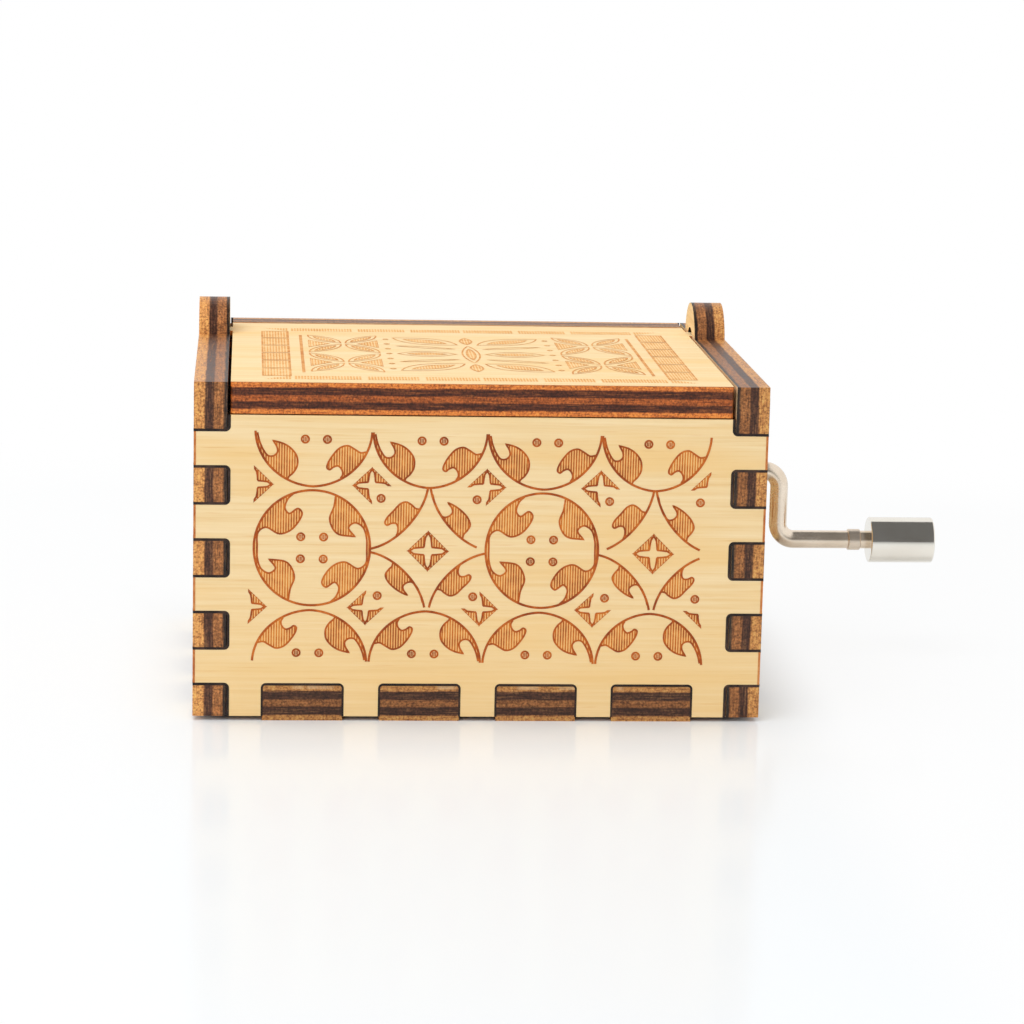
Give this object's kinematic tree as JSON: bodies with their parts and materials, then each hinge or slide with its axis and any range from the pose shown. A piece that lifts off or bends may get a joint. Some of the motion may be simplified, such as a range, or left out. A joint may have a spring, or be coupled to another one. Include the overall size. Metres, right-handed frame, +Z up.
{
  "type": "music box",
  "caption": "Hand-crank cylinder music box in a finger-jointed plywood case with a hinged lid; turning the side crank plays the comb inside.",
  "frame": {"origin": "middle of the case's underside, on the floor", "axes": "+X towards the crank, +Y towards the hinge, +Z up"},
  "size_m": [0.0905, 0.052, 0.0423],
  "materials": {
    "plywood": "laser-cut, engraved, unvarnished",
    "zinc_casting": "plated die casting",
    "plated_steel": "satin plating",
    "spring_steel": "ground",
    "lead": "dull",
    "brass": "turned",
    "nylon": "moulded",
    "nickel_wire": "nickel-plated wire",
    "chrome": "polished"
  },
  "bodies": {
    "case": {"front_panel": "plywood", "rear_panel": "plywood", "left_panel": "plywood", "right_panel": "plywood", "bottom_panel": "plywood", "bedplate": "zinc_casting", "front_bearing": "plated_steel", "shaft_bracket": "plated_steel", "comb": "spring_steel", "comb_weights": "lead", "comb_screws": "plated_steel", "bracket_screws": "plated_steel", "bedplate_screws": "plated_steel"},
    "lid": {"lid": "plywood"},
    "crank": {"crank_rod": "nickel_wire", "crank_collar": "nickel_wire", "worm": "brass"},
    "knob": {"crank_knob": "chrome"},
    "cylinder": {"cylinder_drum": "brass", "cylinder_caps": "brass", "cylinder_arbor": "spring_steel", "cylinder_gear": "nylon", "cylinder_pins": "spring_steel"}
  },
  "joints": [
    {"name": "lid_hinge", "type": "hinge", "parent": "case", "child": "lid", "pos_m": [0, 0.016, 0.03665], "axis": [-1, 0, 0], "range_deg": [0, 146]},
    {"name": "crank_spin", "type": "hinge", "parent": "case", "child": "crank", "pos_m": [0.03925, 0.0105, 0.0224], "axis": [1, 0, 0], "continuous": true},
    {"name": "knob_spin", "type": "hinge", "parent": "crank", "child": "knob", "pos_m": [0.054, 0.0105, 0.0138], "axis": [1, 0, 0], "continuous": true},
    {"name": "cylinder_spin", "type": "hinge", "parent": "case", "child": "cylinder", "pos_m": [0.007, 0, 0.0138], "axis": [0, 1, 0], "continuous": true}
  ],
  "couplings": [
    {"joint": "cylinder_spin", "follows": "crank_spin", "ratio": -0.05}
  ]
}
